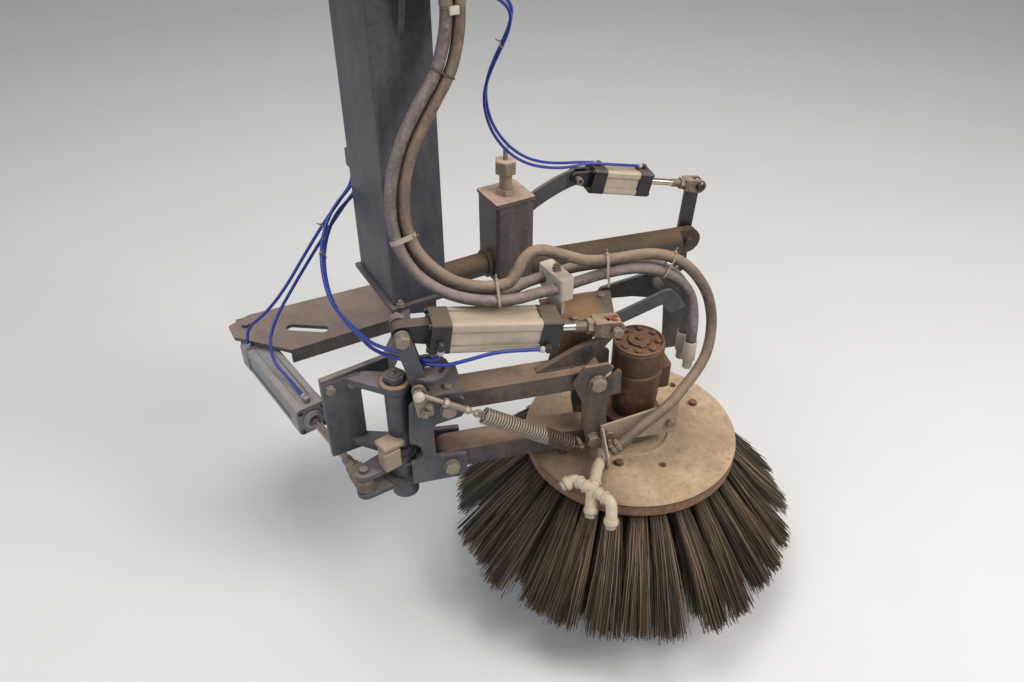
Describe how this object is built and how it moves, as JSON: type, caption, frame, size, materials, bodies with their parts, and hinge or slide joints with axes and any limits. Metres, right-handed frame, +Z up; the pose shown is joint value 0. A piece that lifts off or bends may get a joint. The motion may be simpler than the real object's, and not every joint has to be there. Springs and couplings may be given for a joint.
{
  "type": "side broom unit of a street sweeper truck",
  "caption": "Hanging side broom unit of a street sweeper: swing and lift arms worked by air cylinders, a hydraulic motor and a splayed round brush.",
  "frame": {"origin": "middle of the hanger's head plate, on the face that meets the chassis", "axes": "+Z up out of the head plate, +X along the chassis away from the swing axis, +Y inboard under the truck"},
  "size_m": [1.4127, 1.2082, 1.27],
  "materials": {
    "frame_paint": "dark blue-grey paint under dust and rust",
    "bare_steel": "dull, dusty",
    "spring_steel": "dull, rusty at one end",
    "rusty_iron": "rusted",
    "broom_board": "dusty",
    "bristle": "matte, dusty",
    "cylinder_tube": "dusty anodised",
    "cylinder_cap": "black, worn",
    "rubber_hose": "black, under grey-brown dust",
    "air_tube": "blue, smooth",
    "clamp_plastic": "off-white, dusty",
    "spray_plastic": "cream, dusty",
    "rod_steel": "polished"
  },
  "bodies": {
    "chassis_side": {"chassis_hanger": "frame_paint", "hinge_bracket": "frame_paint", "drop_bracket": "frame_paint", "cylinder_shelf": "frame_paint", "cross_tube": "frame_paint", "nozzle_post": "frame_paint", "post_spindle": "bare_steel", "nozzle_arm": "frame_paint", "cylinder_bar": "frame_paint", "hose_bulkhead": "bare_steel", "tube_blocks": "cylinder_cap", "water_drop": "rubber_hose", "outer_drop": "rubber_hose", "inner_drop": "rubber_hose", "lift_tube_rear_drop": "air_tube", "lift_tube_front_drop": "air_tube", "swing_tube_rear": "air_tube", "swing_tube_front": "air_tube", "nozzle_tube_rear": "air_tube", "nozzle_tube_front": "air_tube"},
    "swing_frame": {"swing_frame": "frame_paint", "cylinder_stand": "frame_paint", "spring_eyebolt": "bare_steel", "water_cross": "rubber_hose", "outer_cross": "rubber_hose", "inner_cross": "rubber_hose", "lift_tube_rear": "air_tube", "lift_tube_front": "air_tube"},
    "upper_link": {"upper_link": "frame_paint", "lift_crank": "frame_paint", "lift_horn": "frame_paint", "hose_clamp": "clamp_plastic"},
    "lower_link": {"lower_link": "frame_paint", "lift_spring": "spring_steel"},
    "carrier": {"broom_carrier": "frame_paint", "motor_plate": "frame_paint", "hydraulic_motor": "rusty_iron", "motor_elbows": "bare_steel", "spray_bracket": "frame_paint", "spray_pipe": "spray_plastic", "water_feed": "rubber_hose", "outer_feed": "rubber_hose", "inner_feed": "rubber_hose"},
    "broom": {"broom_disc": "broom_board", "broom_hub": "bare_steel", "bristles": "bristle"},
    "swing_cylinder": {"swing_barrel": "cylinder_tube", "swing_caps": "cylinder_cap"},
    "swing_rod": {"swing_rod": "rod_steel"},
    "lift_cylinder": {"lift_barrel": "cylinder_tube", "lift_caps": "cylinder_cap"},
    "lift_rod": {"lift_rod": "rod_steel"},
    "nozzle_cylinder": {"nozzle_barrel": "cylinder_tube", "nozzle_caps": "cylinder_cap"},
    "nozzle_rod": {"nozzle_rod": "rod_steel"},
    "nozzle_lever": {"nozzle_lever": "frame_paint"}
  },
  "joints": [
    {"name": "arm_swing", "type": "hinge", "parent": "chassis_side", "child": "swing_frame", "pos_m": [-0.161, -0.327, -0.9], "axis": [0, 0, 1], "range_deg": [-18, 12], "deforming": ["water_drop", "outer_drop", "inner_drop", "lift_tube_rear_drop", "lift_tube_front_drop"]},
    {"name": "swing_cylinder_turn", "type": "hinge", "parent": "chassis_side", "child": "swing_cylinder", "pos_m": [-0.335, 0.279, -0.955], "axis": [0, 0, 1], "range_deg": [-1.22, 1.26], "deforming": ["swing_tube_rear", "swing_tube_front"]},
    {"name": "swing_rod_slide", "type": "slide", "parent": "swing_cylinder", "child": "swing_rod", "axis": [0.1264, -0.992, 0], "range_m": [-0.03086, 0.02091]},
    {"name": "arm_lift", "type": "hinge", "parent": "swing_frame", "child": "upper_link", "pos_m": [-0.06441, -0.35288, -0.778], "axis": [-0.2588, -0.9659, 0], "range_deg": [-22, 2], "deforming": ["water_cross", "outer_cross", "inner_cross"]},
    {"name": "lower_link_turn", "type": "hinge", "parent": "swing_frame", "child": "lower_link", "pos_m": [-0.06441, -0.35288, -0.942], "axis": [-0.2588, -0.9659, 0], "range_deg": [-22.5, 2.5], "deforming": ["lift_spring"]},
    {"name": "carrier_turn", "type": "hinge", "parent": "upper_link", "child": "carrier", "pos_m": [0.25048, -0.43726, -0.778], "axis": [-0.2588, -0.9659, 0], "range_deg": [-2.5, 22.5], "deforming": ["water_feed", "outer_feed", "inner_feed"]},
    {"name": "lift_cylinder_turn", "type": "hinge", "parent": "swing_frame", "child": "lift_cylinder", "pos_m": [-0.14168, -0.33218, -0.598], "axis": [-0.2588, -0.9659, 0], "range_deg": [-16.62, 1.77], "deforming": ["lift_tube_rear", "lift_tube_front"]},
    {"name": "lift_rod_slide", "type": "slide", "parent": "lift_cylinder", "child": "lift_rod", "axis": [0.9554, -0.256, -0.1473], "range_m": [-0.00634, 0.05969]},
    {"name": "broom_spin", "type": "hinge", "parent": "carrier", "child": "broom", "pos_m": [0.37513, -0.4396, -1], "axis": [0, 0, 1], "continuous": true},
    {"name": "nozzle_lever_turn", "type": "hinge", "parent": "chassis_side", "child": "nozzle_lever", "pos_m": [1.00076, 0.15577, -0.948], "axis": [-0.2164, -0.9763, 0], "range_deg": [-8, 10]},
    {"name": "nozzle_cylinder_turn", "type": "hinge", "parent": "chassis_side", "child": "nozzle_cylinder", "pos_m": [0.62414, 0.21263, -0.68], "axis": [-0.2164, -0.9763, 0], "range_deg": [-1.07, 0.91], "deforming": ["nozzle_tube_rear", "nozzle_tube_front"]},
    {"name": "nozzle_rod_slide", "type": "slide", "parent": "nozzle_cylinder", "child": "nozzle_rod", "axis": [0.9555, -0.2118, -0.2053], "range_m": [-0.03291, 0.02652]}
  ],
  "couplings": [
    {"joint": "swing_cylinder_turn", "follows": "arm_swing", "ratio": -0.00616},
    {"joint": "swing_rod_slide", "follows": "arm_swing", "m_per_rad": 0.09505},
    {"joint": "lower_link_turn", "follows": "arm_lift", "ratio": 1},
    {"joint": "carrier_turn", "follows": "arm_lift", "ratio": -1},
    {"joint": "lift_cylinder_turn", "follows": "arm_lift", "ratio": 0.7424},
    {"joint": "lift_rod_slide", "follows": "arm_lift", "m_per_rad": -0.15286},
    {"joint": "nozzle_cylinder_turn", "follows": "nozzle_lever_turn", "ratio": -0.07829},
    {"joint": "nozzle_rod_slide", "follows": "nozzle_lever_turn", "m_per_rad": -0.18281}
  ]
}
